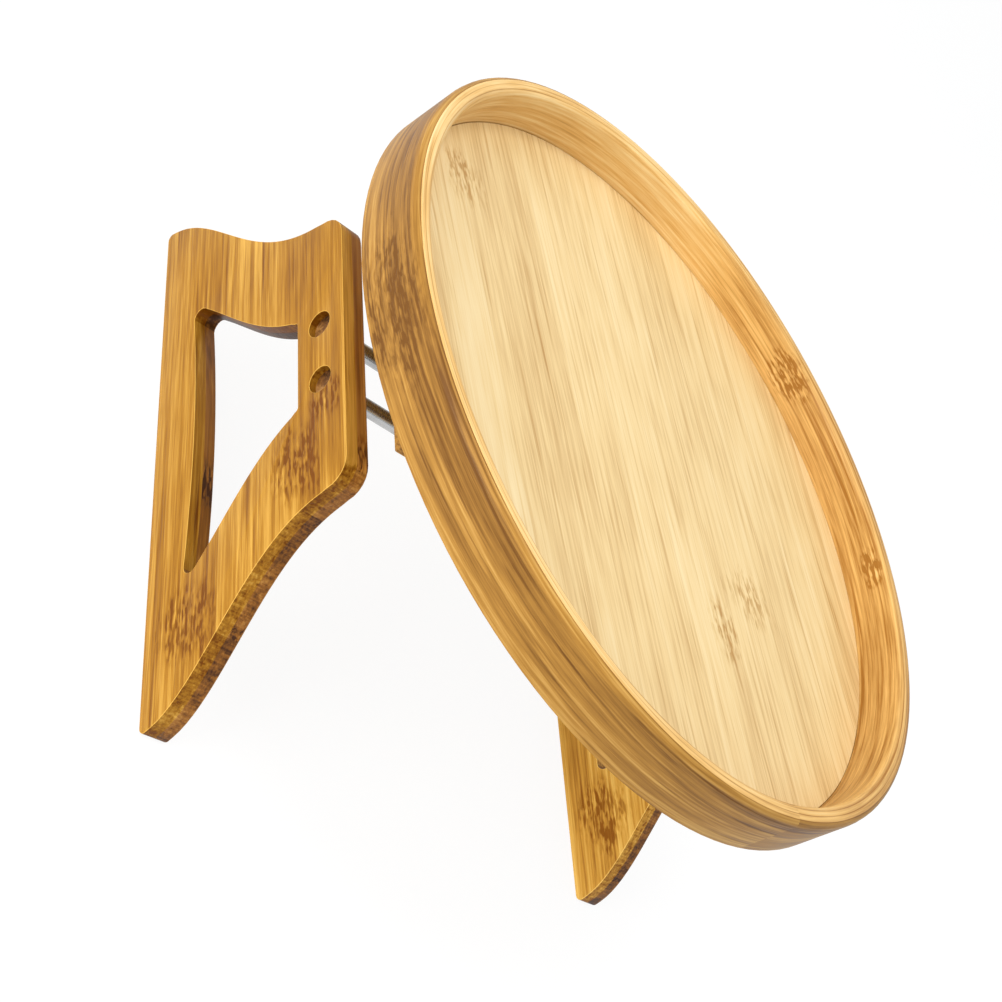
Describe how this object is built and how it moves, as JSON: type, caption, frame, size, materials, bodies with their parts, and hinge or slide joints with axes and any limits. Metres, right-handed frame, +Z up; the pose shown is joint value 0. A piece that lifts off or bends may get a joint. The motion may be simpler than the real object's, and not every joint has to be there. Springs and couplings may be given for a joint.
{
  "type": "sofa arm tray",
  "caption": "Round bent-rim bamboo tray on two flared, windowed leg plates that slide in and out to straddle a sofa arm.",
  "frame": {"origin": "middle of the round tray, on the surface that the leg plates' feet stand on", "axes": "+X along the slide, from leg plate A to leg plate B; +Z up, out of the tray; +Y level, across the slide"},
  "size_m": [0.3, 0.3, 0.148],
  "materials": {
    "bamboo_pale": "clear satin lacquer",
    "bamboo_mid": "clear satin lacquer",
    "bamboo_dark": "clear satin lacquer",
    "bamboo_plug": "bare end grain",
    "screw_steel": "zinc plated",
    "guide_steel": "ground",
    "nylon": "moulded"
  },
  "bodies": {
    "tray": {"rim_outer_ply": "bamboo_pale", "rim_second_ply": "bamboo_mid", "rim_third_ply": "bamboo_pale", "rim_inner_ply": "bamboo_mid", "floor_board": "bamboo_pale", "base_board": "bamboo_mid", "tray_screws": "screw_steel", "guide_block": "bamboo_dark", "block_screws": "screw_steel", "guide_bushes": "nylon"},
    "leg_a": {"leg_a_outer_ply": "bamboo_pale", "leg_a_inner_ply": "bamboo_dark", "guide_rods": "guide_steel", "leg_a_screws": "screw_steel", "leg_a_plugs": "bamboo_plug"},
    "leg_b": {"leg_b_outer_ply": "bamboo_dark", "leg_b_inner_ply": "bamboo_pale", "guide_tubes": "guide_steel", "leg_b_screws": "screw_steel", "leg_b_plugs": "bamboo_plug"}
  },
  "joints": [
    {"name": "leg_a_slide", "type": "slide", "parent": "tray", "child": "leg_a", "axis": [1, 0, 0], "range_m": [0, 0.033]},
    {"name": "leg_b_slide", "type": "slide", "parent": "tray", "child": "leg_b", "axis": [1, 0, 0], "range_m": [-0.033, 0.022]}
  ]
}
